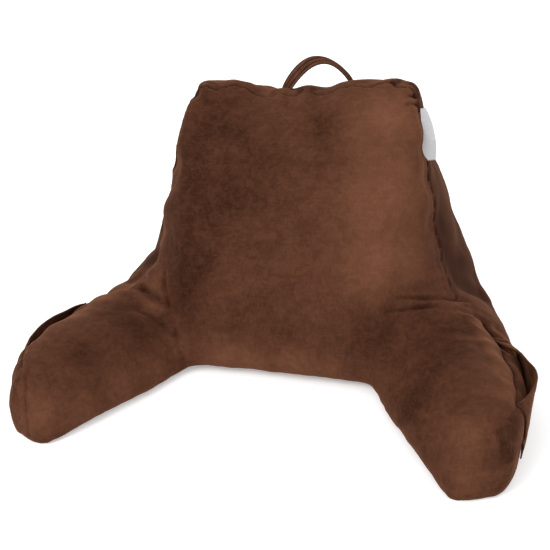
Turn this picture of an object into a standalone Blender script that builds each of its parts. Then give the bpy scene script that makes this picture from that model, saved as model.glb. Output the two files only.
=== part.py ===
"""Reading pillow with two splayed arms, a carry strap, side pockets and a blank side tag."""

import math
from collections import namedtuple

import bmesh
import bpy
import numpy as np
from mathutils import Vector
from mathutils.bvhtree import BVHTree

# The pillow stands on z = 0 and faces -Y. Lengths are in metres, and in the section table
# in millimetres.
MM = 0.001
CLEARANCE = 0.0004

# Each section is one cut through the filled cover, from the middle of the backrest (x = 0)
# round the elbow and along the right arm; the left half mirrors it. Its columns are
#   inner: where the front panel meets the floor
#   front: the seam between the front panel and the side strip
#   back: the seam between the side strip and the back panel
#   outer: where the back, or the arm's outer side, meets the floor
#   swell: how far the front panel, the strip and the back panel stand out between their seams
Section = namedtuple(
    "Section",
    "name inner_x inner_y front_x front_y front_z back_x back_y back_z outer_x outer_y "
    "swell_front swell_strip swell_back",
)
SECTIONS = (
    Section("middle", 0, 0, 0, 208, 447, 0, 292, 436, 0, 352, 48, 12, 18),
    Section("half", 62, 0, 80, 206, 452, 85, 296, 440, 92, 352, 48, 12, 18),
    Section("quarter", 106, 0, 146, 201, 459, 156, 300, 444, 172, 350, 47, 10, 16),
    Section("corner", 122, 0, 183, 195, 464, 191, 306, 442, 222, 350, 42, 6, 12),
    Section("shoulder", 137, -2, 205, 179, 429, 200, 314, 404, 240, 352, 38, 6, 12),
    Section("side_top", 148, -5, 212, 161, 357, 219, 326, 326, 262, 352, 37, 8, 14),
    Section("side_low", 154, -10, 238, 134, 211, 280, 336, 200, 296, 346, 34, 10, 16),
    Section("elbow", 161, -27, 258, 120, 136, 318, 318, 105, 328, 320, 36, 14, 12),
    Section("root", 171, -64, 312, 102, 107, 366, 232, 48, 362, 232, 47, 16, 6),
    Section("arm_back", 196, -111, 353, 28, 101, 384, 106, 40, 378, 101, 59, 12, 6),
    Section("arm_mid", 228, -163, 370, -76, 101, 386, -15, 38, 380, -16, 62, 10, 6),
    Section("arm_front", 260, -217, 375, -152, 100, 381, -132, 38, 371, -132, 55, 10, 6),
    Section("tip", 279, -251, 345, -188, 102, 365, -208, 42, 351, -220, 38, 8, 6),
)
FRONT_ROWS = (0.0, 0.10, 0.32, 0.64, 0.93)  # shares of the way from the floor to the front seam
STRIP_ROWS = (0.0, 0.50)                    # from the front seam to the back seam
BACK_ROWS = (0.0, 0.14, 0.55, 1.0)          # from the back seam to the floor
SWELL_POWER = 0.6
END_SCALE = 0.72                            # the arm's end, against its last section
END_LENGTH = 0.016
FLOOR_SINK = 0.006                          # how much of the underside the weight flattens
SUBDIVISION = 2
MERGE_DISTANCE = 0.0001

# The filling stands higher in the right top corner, and the top leans a little to the left.
LEAN = 0.005
LEAN_HEIGHTS = (0.10, 0.45)                 # where the lean begins, and where it is whole
LIFT = 0.014
LIFT_SPAN = (-0.05, 0.17)                   # the same for the lift, along x

# Puckers along the front seam, deep on the top edge and shallow on the arms. Their spacing
# drifts slowly along the seam, so that no two are alike.
PUCKER_PITCH = 0.062
PUCKER_REACH = 0.030
PUCKER_TOP = 0.0042
PUCKER_ARM = 0.0012
PUCKER_HEIGHTS = (0.16, 0.36)
DRIFT_PITCH = 2.7 * PUCKER_PITCH
DRIFT_AMOUNT = 1.3
DRIFT_START = 0.6
SEAM_PINCH = 0.0030
SEAM_WIDTH = 0.012

# Creases pressed into the cover where the arms leave the backrest.
Crease = namedtuple("Crease", "start end width depth")
CREASES = (
    Crease((0.148, 0.028, 0.155), (0.205, 0.061, 0.149), 0.009, 0.0050),
    Crease((0.200, 0.058, 0.149), (0.255, 0.100, 0.136), 0.009, 0.0050),
    Crease((0.180, 0.038, 0.134), (0.248, 0.077, 0.124), 0.009, 0.0040),
    Crease((0.318, 0.106, 0.102), (0.368, 0.060, 0.080), 0.008, 0.0050),
    Crease((-0.232, 0.110, 0.175), (-0.280, 0.160, 0.140), 0.013, 0.0090),
    Crease((-0.277, 0.108, 0.117), (-0.201, 0.036, 0.106), 0.011, 0.0040),
    Crease((-0.251, 0.034, 0.107), (-0.193, 0.019, 0.086), 0.011, 0.0035),
    Crease((-0.264, 0.160, 0.148), (-0.325, 0.152, 0.101), 0.032, 0.0095),
    Crease((-0.207, 0.196, 0.431), (-0.204, 0.270, 0.424), 0.010, 0.0060),
    Crease((0.272, 0.150, 0.141), (0.352, 0.262, 0.084), 0.015, 0.0090),
)
CREASE_FADE = 0.8                           # how much of its depth a crease loses at its ends

STRAP_WIDTH = 0.042
STRAP_THICKNESS = 0.0025
STRAP_FEET = ((-0.0384, 0.2485), (0.0769, 0.2512))  # x and y where its two ends are sewn in
STRAP_RISE = 0.0426
STRAP_LEAN = math.radians(13)               # how far the arch leans towards the sitter
STRAP_TURNS = (math.radians(-29), math.radians(-13))  # its width, turned in plan, at each end
STRAP_TWIST = math.radians(-12)             # how much more it is turned at its crown
STRAP_TILTS = (math.radians(11), math.radians(20))    # its far edge, raised, at each end
STRAP_STEPS = 18
STRAP_ROUNDNESS = 0.8
SEWN_DEPTH = 0.006

TAG_TOP = 0.425
TAG_BOTTOM = 0.345
TAG_WIDTH = 0.021
TAG_THICKNESS = 0.0012
TAG_STEPS = 8
# How far the tape turns back from the side, by its share of the way down.
TAG_SHARES = (0.0, 0.3, 0.6, 1.0)
TAG_TURNS = (math.radians(55), math.radians(28), math.radians(10), math.radians(35))

# Pockets on the arms' outer sides: the ends along y, of which the near one slants forward by
# the lean towards the floor, the lower and upper edge, and how far the mouth gapes.
Pocket = namedtuple("Pocket", "name side near lean far low high gape")
POCKETS = (
    Pocket("pocket_right", 1, -0.140, 0.018, 0.062, 0.016, 0.088, 0.008),
    Pocket("pocket_left", -1, -0.112, 0.018, 0.062, 0.016, 0.082, 0.006),
)
POCKET_THICKNESS = 0.0022
POCKET_STEPS = (18, 8)
POCKET_GAP = 0.0018
GAPE_SHIFT = 0.8                            # below 1 the mouth gapes most nearer the arm's end
GAPE_SPREAD = 1.1
GAPE_RISE = 0.6

OUTSIDE = 1.0                               # clear of the pillow: where lines towards it start

# Finish of each piece: its colour, roughness and sheen.
Finish = namedtuple("Finish", "colour roughness sheen")
VELOUR = Finish((0.105, 0.045, 0.026, 1.0), 0.85, 0.4)
STRAP_VELOUR = Finish((0.070, 0.030, 0.019, 1.0), 0.85, 0.3)
WHITE_TAPE = Finish((0.80, 0.80, 0.79, 1.0), 0.55, 0.0)


def unit(vector):
    return vector / np.linalg.norm(vector)


def smooth_step(value, low, high):
    share = np.clip((value - low) / (high - low), 0.0, 1.0)
    return share * share * (3.0 - 2.0 * share)


def swell_at(share):
    return (4.0 * share * (1.0 - share)) ** SWELL_POWER


def run_of(points):
    """Direction of each line of points, from section to section."""
    before = np.vstack([points[1] * (-1, 1, 1), points[:-1]])
    after = np.vstack([points[1:], points[-1]])
    return np.array([unit(step) for step in after - before])


def panel_point(start, end, along, share, swell):
    outward = unit(np.cross(along, end - start))
    return start + (end - start) * share + outward * swell * swell_at(share)


def seam_points(name):
    """The named seam or floor line of the right half, one point for each section."""
    fields = [name + axis for axis in ("_x", "_y", "_z")]
    points = [[getattr(section, field, 0) for field in fields] for section in SECTIONS]
    return np.array(points, dtype=float) * MM


def section_loops():
    """Closed loops of cage points, one for each section and one for the arm's end."""
    edges = [seam_points(name) for name in ("inner", "front", "back", "outer")]
    runs = [run_of(points) for points in edges]
    rows = (FRONT_ROWS, STRIP_ROWS, BACK_ROWS)
    loops = []
    for i, section in enumerate(SECTIONS):
        swells = (section.swell_front, section.swell_strip, section.swell_back)
        loop = []
        for panel, (shares, swell) in enumerate(zip(rows, swells)):
            along = runs[panel][i] + runs[panel + 1][i]
            start = edges[panel][i]
            end = edges[panel + 1][i]
            loop += [panel_point(start, end, along, share, swell * MM) for share in shares]
        loop.append((edges[0][i] + edges[3][i]) / 2)
        loops.append(np.array(loop))
    centre = loops[-1].mean(axis=0)
    forward = unit((centre - loops[-2].mean(axis=0)) * (1, 1, 0))
    loops.append(centre + (loops[-1] - centre) * END_SCALE + forward * END_LENGTH)
    return loops


def close_end(cage, ring):
    """Faces across the arm's end, from its floor corners up."""
    low = 1
    high = len(ring) - 3
    cage.faces.new((ring[0], ring[-1], ring[-2], ring[high], ring[low]))
    while high - low > 2:
        cage.faces.new((ring[low], ring[high], ring[high - 1], ring[low + 1]))
        low += 1
        high -= 1
    cage.faces.new((ring[low], ring[high], ring[low + 1]))


def pillow_cage(collection):
    """Half of the cover as a coarse cage, mirrored and subdivided by modifiers."""
    cage = bmesh.new()
    rings = [[cage.verts.new(point) for point in loop] for loop in section_loops()]
    for near, far in zip(rings, rings[1:]):
        for k in range(len(near)):
            after = (k + 1) % len(near)
            cage.faces.new((near[k], far[k], far[after], near[after]))
    close_end(cage, rings[-1])
    body = new_object("pillow_cage", cage, collection)
    mirror = body.modifiers.new("Left half", "MIRROR")
    mirror.use_axis = (True, False, False)
    mirror.merge_threshold = MERGE_DISTANCE
    soften = body.modifiers.new("Soft form", "SUBSURF")
    soften.levels = SUBDIVISION
    soften.render_levels = SUBDIVISION
    return body


def new_object(name, shape, collection):
    mesh = bpy.data.meshes.new(name)
    shape.to_mesh(mesh)
    shape.free()
    item = bpy.data.objects.new(name, mesh)
    collection.objects.link(item)
    return item


def evaluated_mesh(item):
    depsgraph = bpy.context.evaluated_depsgraph_get()
    depsgraph.update()
    return bpy.data.meshes.new_from_object(item.evaluated_get(depsgraph))


def nearest_on_line(points, line):
    """Distance of each point to a polyline, and how far along the line it lies."""
    lengths = np.linalg.norm(np.diff(line, axis=0), axis=1)
    travelled = np.concatenate([[0.0], np.cumsum(lengths)])
    best = np.full(len(points), np.inf)
    along = np.zeros(len(points))
    for start, end, length, before in zip(line, line[1:], lengths, travelled):
        step = (end - start) / length
        share = np.clip((points - start) @ step, 0.0, length)
        distance = np.linalg.norm(points - start - share[:, None] * step, axis=1)
        closer = distance < best
        best[closer] = distance[closer]
        along[closer] = before + share[closer]
    return best, along - travelled[-1] / 2


def whole_seam(name):
    right = seam_points(name)
    left = right[:0:-1] * (-1, 1, 1)
    return np.vstack([left, right])


def pucker(points):
    """Height of the gathers along the front seam, as a move along the surface normal."""
    distance, along = nearest_on_line(points, whole_seam("front"))
    drift = DRIFT_AMOUNT * np.sin(2 * math.pi * along / DRIFT_PITCH + DRIFT_START)
    wave = np.sin(2 * math.pi * along / PUCKER_PITCH + drift)
    height = PUCKER_ARM + (PUCKER_TOP - PUCKER_ARM) * smooth_step(points[:, 2], *PUCKER_HEIGHTS)
    gathers = height * wave * np.exp(-((distance / PUCKER_REACH) ** 2))
    return gathers - SEAM_PINCH * np.exp(-((distance / SEAM_WIDTH) ** 2))


def crease_depth(points):
    depth = np.zeros(len(points))
    for crease in CREASES:
        line = np.array((crease.start, crease.end))
        distance, along = nearest_on_line(points, line)
        reach = np.linalg.norm(line[1] - line[0]) / 2
        fade = 1.0 - CREASE_FADE * (along / reach) ** 2
        depth += crease.depth * fade * np.exp(-((distance / crease.width) ** 2))
    return depth


def pillow_body(collection, guides):
    """The filled cover: soft form, raised right corner, gathers, creases and a flat base."""
    cage = pillow_cage(guides)
    mesh = evaluated_mesh(cage)
    count = len(mesh.vertices)
    points = np.empty(count * 3)
    normals = np.empty(count * 3)
    mesh.vertices.foreach_get("co", points)
    mesh.vertices.foreach_get("normal", normals)
    points = points.reshape(count, 3)
    normals = normals.reshape(count, 3)
    moved = points + normals * (pucker(points) - crease_depth(points))[:, None]
    height_share = smooth_step(points[:, 2], *LEAN_HEIGHTS)
    moved[:, 0] -= LEAN * height_share
    moved[:, 2] += LIFT * smooth_step(points[:, 0], *LIFT_SPAN) * height_share
    moved[:, 2] = np.maximum(moved[:, 2] - FLOOR_SINK, 0.0)
    mesh.vertices.foreach_set("co", moved.ravel())
    # In triangles the cover has one surface only, which what is sewn to it can follow.
    shape = bmesh.new()
    shape.from_mesh(mesh)
    bmesh.ops.triangulate(shape, faces=shape.faces[:])
    body = new_object("pillow_body", shape, collection)
    body.data.shade_smooth()
    bpy.data.meshes.remove(mesh)
    hide_guide(cage)
    return body


def hide_guide(item):
    item.hide_render = True
    item.display_type = "WIRE"


def surface_of(body):
    mesh = body.data
    return BVHTree.FromPolygons([v.co for v in mesh.vertices], [p.vertices for p in mesh.polygons])


def sheet(name, rows, thickness, collection):
    """A cloth sheet over a grid of points, its thickness added on the side it faces."""
    shape = bmesh.new()
    grid = [[shape.verts.new(point) for point in row] for row in rows]
    for low, high in zip(grid, grid[1:]):
        for k in range(len(low) - 1):
            shape.faces.new((low[k], low[k + 1], high[k + 1], high[k]))
    item = new_object(name, shape, collection)
    solidify = item.modifiers.new("Cloth", "SOLIDIFY")
    solidify.thickness = thickness
    solidify.offset = 1.0
    solidify.use_even_offset = True
    item.data.shade_smooth()
    return item


def sewn_end_cutter(body, guides):
    """The cover a hair larger, which trims what is sewn to it to its own surface."""
    mesh = body.data.copy()
    for vertex in mesh.vertices:
        vertex.co += vertex.normal * CLEARANCE
    cutter = bpy.data.objects.new("cover_cutter", mesh)
    guides.objects.link(cutter)
    hide_guide(cutter)
    return cutter


def trim(item, cutter):
    cut = item.modifiers.new("Sewn end", "BOOLEAN")
    cut.operation = "DIFFERENCE"
    cut.object = cutter


def side_x(surface, side, y, z):
    """Where a line from outside, level and across, meets the cover on the given side."""
    return surface.ray_cast(Vector((OUTSIDE * side, y, z)), Vector((-side, 0, 0)))[0].x


def carry_handle(surface, cutter, collection):
    """Flat strap standing in an arch that leans forward, each end on the cover's top edge."""
    feet = []
    for x, y in STRAP_FEET:
        hit = surface.ray_cast(Vector((x, y, OUTSIDE)), Vector((0, 0, -1)))[0]
        feet.append(np.array(hit) - (0.0, 0.0, SEWN_DEPTH))
    rows = []
    up = np.array((0.0, -math.sin(STRAP_LEAN), math.cos(STRAP_LEAN)))
    crown_tilt = STRAP_LEAN - sum(STRAP_TILTS) / 2
    for step in range(STRAP_STEPS + 1):
        share = (1 - math.cos(math.pi * step / STRAP_STEPS)) / 2
        arch = max(math.sin(math.pi * share), 0.0)
        rise = (STRAP_RISE + SEWN_DEPTH) * arch ** STRAP_ROUNDNESS
        middle = feet[0] + (feet[1] - feet[0]) * share + up * rise
        turn = STRAP_TURNS[0] + (STRAP_TURNS[1] - STRAP_TURNS[0]) * share + STRAP_TWIST * arch
        tilt = STRAP_TILTS[0] + (STRAP_TILTS[1] - STRAP_TILTS[0]) * share + crown_tilt * arch
        flat = np.array((math.sin(turn), math.cos(turn), 0.0)) * math.cos(tilt)
        across = (flat + (0.0, 0.0, math.sin(tilt))) * STRAP_WIDTH / 2
        rows.append([middle - across, middle + across])
    handle = sheet("carry_handle", rows, STRAP_THICKNESS, collection)
    trim(handle, cutter)
    return handle


def side_tag(surface, cutter, collection):
    """Blank folded tape standing out of the right side seam."""
    seam = seam_points("front")[:3:-1]
    rows = []
    for step in range(TAG_STEPS + 1):
        share = step / TAG_STEPS
        height = TAG_TOP + (TAG_BOTTOM - TAG_TOP) * share
        y = np.interp(height, seam[:, 2], seam[:, 1])
        edge = np.array((side_x(surface, 1, y, height), y, height))
        turn = np.interp(share, TAG_SHARES, TAG_TURNS)
        across = np.array((math.cos(turn), math.sin(turn), 0.0))
        rows.append([edge - (SEWN_DEPTH, 0.0, 0.0), edge + across * TAG_WIDTH])
    tag = sheet("side_label", rows, TAG_THICKNESS, collection)
    trim(tag, cutter)
    return tag


def pocket(spec, surface, collection):
    """Open-topped patch on the arm's outer side, held at its ends and its lower edge.

    From the arm's widest line it rises straight, so that its mouth stands off the arm.
    """
    columns = []
    for i in range(POCKET_STEPS[0] + 1):
        share = i / POCKET_STEPS[0]
        opening = max(math.sin(math.pi * share ** GAPE_SHIFT), 0.0) ** GAPE_SPREAD
        widest = 0.0
        column = []
        for j in range(POCKET_STEPS[1] + 1):
            up = j / POCKET_STEPS[1]
            near = spec.near - spec.lean * (1 - up)
            y = near + (spec.far - near) * share
            z = spec.low + (spec.high - spec.low) * up
            arm = abs(side_x(surface, spec.side, y, z))
            widest = max(widest, arm)
            stand_off = (widest - arm + spec.gape * up ** GAPE_RISE) * opening
            column.append((spec.side * (arm + POCKET_GAP + stand_off), y, z))
        columns.append(column)
    if spec.side < 0:
        columns.reverse()
    rows = [list(row) for row in zip(*columns)]
    return sheet(spec.name, rows, POCKET_THICKNESS, collection)


def finish(item, name, look):
    material = bpy.data.materials.new(name)
    material.use_nodes = True
    shader = material.node_tree.nodes["Principled BSDF"]
    shader.inputs["Base Color"].default_value = look.colour
    shader.inputs["Roughness"].default_value = look.roughness
    shader.inputs["Metallic"].default_value = 0.0
    shader.inputs["Sheen Weight"].default_value = look.sheen
    material.diffuse_color = look.colour
    item.data.materials.clear()
    item.data.materials.append(material)


def footprint_centre(items):
    corners = []
    for item in items:
        mesh = evaluated_mesh(item)
        points = np.empty(len(mesh.vertices) * 3)
        mesh.vertices.foreach_get("co", points)
        points = points.reshape(-1, 3)
        corners += [points.min(axis=0), points.max(axis=0)]
        bpy.data.meshes.remove(mesh)
    corners = np.array(corners)
    return (corners.min(axis=0) + corners.max(axis=0)) / 2


def main():
    for item in list(bpy.data.objects):
        bpy.data.objects.remove(item, do_unlink=True)
    parts = bpy.data.collections.new("Reading pillow")
    guides = bpy.data.collections.new("Guides")
    for collection in (parts, guides):
        bpy.context.scene.collection.children.link(collection)
    body = pillow_body(parts, guides)
    surface = surface_of(body)
    cutter = sewn_end_cutter(body, guides)
    handle = carry_handle(surface, cutter, parts)
    tag = side_tag(surface, cutter, parts)
    pockets = [pocket(spec, surface, parts) for spec in POCKETS]
    finish(body, "Pillow velour", VELOUR)
    finish(handle, "Strap velour", STRAP_VELOUR)
    finish(tag, "Tag tape", WHITE_TAPE)
    for item in pockets:
        finish(item, item.name + " velour", VELOUR)
    # The reference point is the middle of the footprint, on the floor.
    origin = bpy.data.objects.new("Reading pillow origin", None)
    parts.objects.link(origin)
    centre = footprint_centre([body, handle, tag, *pockets])
    origin.location = (-centre[0], -centre[1], 0.0)
    for item in (body, handle, tag, *pockets, cutter):
        item.parent = origin


main()
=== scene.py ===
from math import cos, pi, sin

import bmesh
import bpy
import numpy as np
from mathutils import Matrix, Vector
from mathutils.bvhtree import BVHTree
from numpy.linalg import norm


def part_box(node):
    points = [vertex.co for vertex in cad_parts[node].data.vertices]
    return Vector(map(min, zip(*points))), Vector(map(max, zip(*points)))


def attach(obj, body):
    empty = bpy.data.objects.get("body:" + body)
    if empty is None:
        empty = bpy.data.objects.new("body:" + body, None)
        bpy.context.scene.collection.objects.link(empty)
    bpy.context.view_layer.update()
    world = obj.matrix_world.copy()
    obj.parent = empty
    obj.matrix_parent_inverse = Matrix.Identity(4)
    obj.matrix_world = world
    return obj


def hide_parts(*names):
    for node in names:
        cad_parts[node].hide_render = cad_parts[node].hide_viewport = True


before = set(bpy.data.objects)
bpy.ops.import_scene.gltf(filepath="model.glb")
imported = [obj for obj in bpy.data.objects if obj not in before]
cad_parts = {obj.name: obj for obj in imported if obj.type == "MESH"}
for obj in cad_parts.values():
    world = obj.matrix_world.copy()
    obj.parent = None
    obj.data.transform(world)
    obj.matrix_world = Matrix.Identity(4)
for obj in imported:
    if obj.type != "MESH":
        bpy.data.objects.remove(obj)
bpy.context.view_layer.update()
mm = 0.001
deg = pi / 180
floorTouch = 0.0004  # what lies lower than this rests on the floor


def unit(vector):
    return vector / norm(vector)


# One where there is no offset, falling softly to nothing past the width.
def bell(offset, width):
    return np.exp(-((offset / width) ** 2))


def smoothStep(value, low, high):
    share = np.clip((value - low) / (high - low), 0.0, 1.0)
    return share * share * (3.0 - 2.0 * share)


def between(low, high, share):
    return low + (high - low) * share


def newPiece(name, mesh):
    piece = bpy.data.objects.new(name, mesh)
    bpy.context.scene.collection.objects.link(piece)
    return piece


def meshFrom(name, points, faces, edges=()):
    mesh = bpy.data.meshes.new(name)
    mesh.from_pydata([tuple(map(float, p)) for p in points], edges, faces)
    mesh.validate()
    return mesh


def bakedMesh(piece):
    depsgraph = bpy.context.evaluated_depsgraph_get()
    depsgraph.update()
    return bpy.data.meshes.new_from_object(piece.evaluated_get(depsgraph))


def subdivided(piece, levels):
    soften = piece.modifiers.new("Soft form", "SUBSURF")
    soften.levels = soften.render_levels = levels
    dense = bakedMesh(piece)
    bpy.data.objects.remove(piece)
    return dense


def readPoints(mesh, kind="co"):
    values = np.empty(len(mesh.vertices) * 3)
    mesh.vertices.foreach_get(kind, values)
    return values.reshape(-1, 3)


def writePoints(mesh, points):
    mesh.vertices.foreach_set("co", np.asarray(points, dtype=float).ravel())
    mesh.update()


def writeMask(mesh, name, values):
    layer = mesh.attributes.new(name, "FLOAT", "POINT")
    layer.data.foreach_set("value", np.asarray(values, dtype=np.float32))


# A closed mesh, with its faces turned outwards.
def closedMesh(name, points, faces):
    mesh = meshFrom(name, points, faces)
    turned = bmesh.new()
    turned.from_mesh(mesh)
    bmesh.ops.recalc_face_normals(turned, faces=turned.faces[:])
    turned.to_mesh(mesh)
    turned.free()
    mesh.shade_smooth()
    return mesh


def pathLengths(line):
    steps = norm(np.diff(line, axis=0), axis=1)
    return steps, np.concatenate([[0.0], np.cumsum(steps)])


# Each point's distance from a line, and its place along it from the middle.
def alongLine(points, line):
    lengths, travelled = pathLengths(line)
    best = np.full(len(points), np.inf)
    along = np.zeros(len(points))
    for start, end, length, before in zip(line, line[1:], lengths, travelled):
        step = (end - start) / length
        share = np.clip((points - start) @ step, 0.0, length)
        distance = norm(points - start - share[:, None] * step, axis=1)
        closer = distance < best
        best[closer] = distance[closer]
        along[closer] = before + share[closer]
    return best, along - travelled[-1] / 2


# What the spots of a table add up to at each point. A row holds a spot's place and reach in
# millimetres, then its amount.
def spotsAt(points, rows):
    total = np.zeros(len(points))
    for *place, reach, amount in rows:
        away = norm(points - shift - np.array(place) * mm, axis=1)
        total += amount * bell(away, reach * mm)
    return total


# The cut of the cover in millimetres, from the middle of the backrest round the elbow and
# down the right arm. Each row holds where the front panel meets the floor (x, y), the front
# seam (x, y, z), the back seam (x, y, z), where the back meets the floor (x, y), and how far
# the front panel, the side strip and the back panel swell. The left half mirrors it.
coverCut = (
    (0, 0, 0, 208, 447, 0, 292, 436, 0, 352, 48, 12, 18),
    (62, 0, 80, 206, 452, 85, 296, 440, 92, 352, 48, 12, 18),
    (106, 0, 146, 201, 459, 156, 300, 444, 172, 350, 47, 10, 16),
    (122, 0, 183, 195, 464, 191, 306, 442, 222, 350, 42, 6, 12),
    (137, -2, 205, 179, 429, 200, 314, 404, 240, 352, 38, 6, 12),
    (148, -5, 212, 161, 357, 219, 326, 326, 262, 352, 37, 8, 14),
    (154, -10, 238, 134, 211, 280, 336, 200, 296, 346, 34, 10, 16),
    (161, -27, 258, 120, 136, 318, 318, 105, 328, 320, 36, 14, 12),
    (171, -64, 312, 102, 107, 366, 232, 48, 362, 232, 47, 16, 6),
    (196, -111, 353, 28, 101, 384, 106, 40, 378, 101, 59, 12, 6),
    (228, -163, 370, -76, 101, 386, -15, 38, 380, -16, 62, 10, 6),
    (260, -217, 375, -152, 100, 381, -132, 38, 371, -132, 55, 10, 6),
    (279, -251, 345, -188, 102, 365, -208, 42, 351, -220, 38, 8, 6),
)

cover = {
    "panelRows": ((0.0, 0.10, 0.32, 0.64, 0.93), (0.0, 0.50), (0.0, 0.14, 0.55, 1.0)),
    "swellPower": 0.6,
    "endScale": 0.72,
    "endLength": 0.016,
    "floorSink": 0.006,
    "lean": 0.005,
    "leanHeights": (0.10, 0.45),
    "lift": 0.014,
    "liftSpan": (-0.05, 0.17),
    "levels": 3,
    "gatherPitch": 0.062,  # the big soft scallops along the front seam
    "gatherDrift": (1.3, 2.7, 0.6),  # how far their spacing drifts, over how many, its start
    "gatherReach": 0.030,
    "gatherHeight": (0.0012, 0.0042),  # on the arms and at the top
    "gatherHeights": (0.16, 0.36),
    "hollow": (0.0030, 0.012),  # depth and reach of the hollow that the front seam lies in
    "finePitch": (0.0137, 0.0213, 0.0331),  # the small puckers that the stitching draws in
    "finePhase": 1.7,
    "fineDrift": (0.8, 31.0),
    "finePeak": 1.6,
    "fineHeight": 0.0008,
    "fineLow": 0.25,  # their share near the floor
    "fineBack": 0.6,  # their share along the back seam
    "fineReach": 0.013,
    "upHeights": (0.14, 0.34),  # between these the puckers grow to full height
    "seamDepth": 0.0032,
    "seamWidth": 0.0032,
    "seamLip": 0.0007,
    "lipPlace": 2.3,  # in seam widths from the seam
    # the width of the painted shade along the seams
    "shadeWidth": 0.0024,
    "fill": 0.85,
    # how plainly the front seam shows at each row of the cut, right and left, in its groove and
    # in the painted shade along it
    "seamRight": (0.4, 0.4, 0.4, 0.5, 0.45, 0.4, 0.3, 0.15, 0.15, 1.0, 0.9, 0.4, 0.2),
    "seamLeft": (0.4, 0.4, 0.4, 0.6, 0.8, 0.8, 0.6, 0.25, 0.1, 0.1, 0.2, 0.5, 0.6),
    "seamBack": (0.8, 0.05),  # the back seam, and the length over which its ends fade
    "tipSeams": (0.32, 0.10),  # how plainly the tip seams show, left and right
}

# Where the stuffing stands fuller or slacker than the cut: x, y, z, reach, how much, in
# millimetres.
fullness = (
    (-158, 220, 450, 45, 5), (136, 205, 462, 35, 6.5), (216, 290, 375, 85, -6),
    (300, 290, 150, 40, 3.5), (335, 230, 98, 50, -6), (-208, 136, 333, 40, -4.5),
    (-200, 185, 435, 20, -5), (-196, 165, 398, 30, 4.5), (-231, 132, 245, 32, 4),
    (-252, 215, 250, 50, -5), (-262, 165, 165, 28, -6), (-298, 175, 112, 45, -6.5),
    (-276, 170, 148, 22, -5), (-310, 110, 106, 45, -6.5), (385, -130, 50, 60, -5),
    (-392, -130, 70, 50, 3),
)


def cutLine(which):
    first, last = {"inner": (0, 2), "front": (2, 5), "back": (5, 8), "outer": (8, 10)}[which]
    return np.array([(*row[first:last], 0)[:3] for row in coverCut], dtype=float) * mm


def bothSides(line):
    return np.vstack([line[:0:-1] * (-1, 1, 1), line])


def runOf(line):
    before = np.vstack([line[1] * (-1, 1, 1), line[:-1]])
    after = np.vstack([line[1:], line[-1]])
    return np.array([unit(step) for step in after - before])


def coverLoops():
    edges = [cutLine(name) for name in ("inner", "front", "back", "outer")]
    runs = [runOf(line) for line in edges]
    loops = []
    for i, row in enumerate(coverCut):
        loop = []
        for panel, (shares, swell) in enumerate(zip(cover["panelRows"], row[10:])):
            start = edges[panel][i]
            end = edges[panel + 1][i]
            outward = unit(np.cross(runs[panel][i] + runs[panel + 1][i], end - start))
            for share in shares:
                stand = swell * mm * (4.0 * share * (1.0 - share)) ** cover["swellPower"]
                loop.append(between(start, end, share) + outward * stand)
        loop.append((edges[0][i] + edges[3][i]) / 2)
        loops.append(np.array(loop))
    centre = loops[-1].mean(axis=0)
    forward = unit((centre - loops[-2].mean(axis=0)) * (1, 1, 0))
    loops.append(centre + (loops[-1] - centre) * cover["endScale"] + forward * cover["endLength"])
    return loops


def coverMesh():
    cage = bmesh.new()
    seams = cage.verts.layers.deform.verify()
    rings = [[cage.verts.new(point) for point in loop] for loop in coverLoops()]
    frontRow = len(cover["panelRows"][0])
    backRow = frontRow + len(cover["panelRows"][1])
    for ring in rings:
        ring[frontRow][seams][0] = 1.0
        ring[backRow][seams][1] = 1.0
    for near, far in zip(rings, rings[1:]):
        for k in range(len(near)):
            after = (k + 1) % len(near)
            cage.faces.new((near[k], far[k], far[after], near[after]))
    end = rings[-1]
    low, high = 1, len(end) - 3
    cage.faces.new((end[0], end[-1], end[-2], end[high], end[low]))
    while high - low > 2:
        cage.faces.new((end[low], end[high], end[high - 1], end[low + 1]))
        low += 1
        high -= 1
    cage.faces.new((end[low], end[high], end[low + 1]))
    mesh = bpy.data.meshes.new("coverCage")
    cage.to_mesh(mesh)
    cage.free()
    piece = newPiece("coverCage", mesh)
    piece.vertex_groups.new(name="frontSeam")
    piece.vertex_groups.new(name="backSeam")
    mirror = piece.modifiers.new("Left half", "MIRROR")
    mirror.merge_threshold = 0.0001
    return subdivided(piece, cover["levels"])


# The points of a sewn line in order, without the two at its ends.
def seamLine(mesh, points, group, guide):
    picked = points[[any(entry.group == group and entry.weight > 0.999 for entry in vertex.groups)
                     for vertex in mesh.vertices]]
    along = alongLine(picked, guide)[1]
    inside = np.abs(along) < np.abs(along).max() - 0.0005
    return picked[inside][np.argsort(along[inside])]


def seamLines(mesh, points):
    return [seamLine(mesh, points, *seam) for seam in enumerate((frontGuide, backGuide))]


def seamStrength(along, guide):
    travelled = pathLengths(guide)[1]
    shares = (*cover["seamLeft"][:0:-1], *cover["seamRight"])
    return np.interp(along, travelled - travelled[-1] / 2, shares)


def softForm(points, normals):
    distance, along = alongLine(points, bothSides(cutLine("front")))
    drift, length, start = cover["gatherDrift"]
    drift *= np.sin(2 * pi * along / (length * cover["gatherPitch"]) + start)
    wave = np.sin(2 * pi * along / cover["gatherPitch"] + drift)
    share = smoothStep(points[:, 2], *cover["gatherHeights"])
    gathers = between(*cover["gatherHeight"], share) * wave * bell(distance, cover["gatherReach"])
    depth, reach = cover["hollow"]
    gathers -= depth * bell(distance, reach)
    moved = points + normals * gathers[:, None]
    leanShare = smoothStep(points[:, 2], *cover["leanHeights"])
    moved[:, 0] -= cover["lean"] * leanShare
    moved[:, 2] += cover["lift"] * smoothStep(points[:, 0], *cover["liftSpan"]) * leanShare
    moved[:, 2] = np.maximum(moved[:, 2] - cover["floorSink"], 0.0)
    return moved


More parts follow.
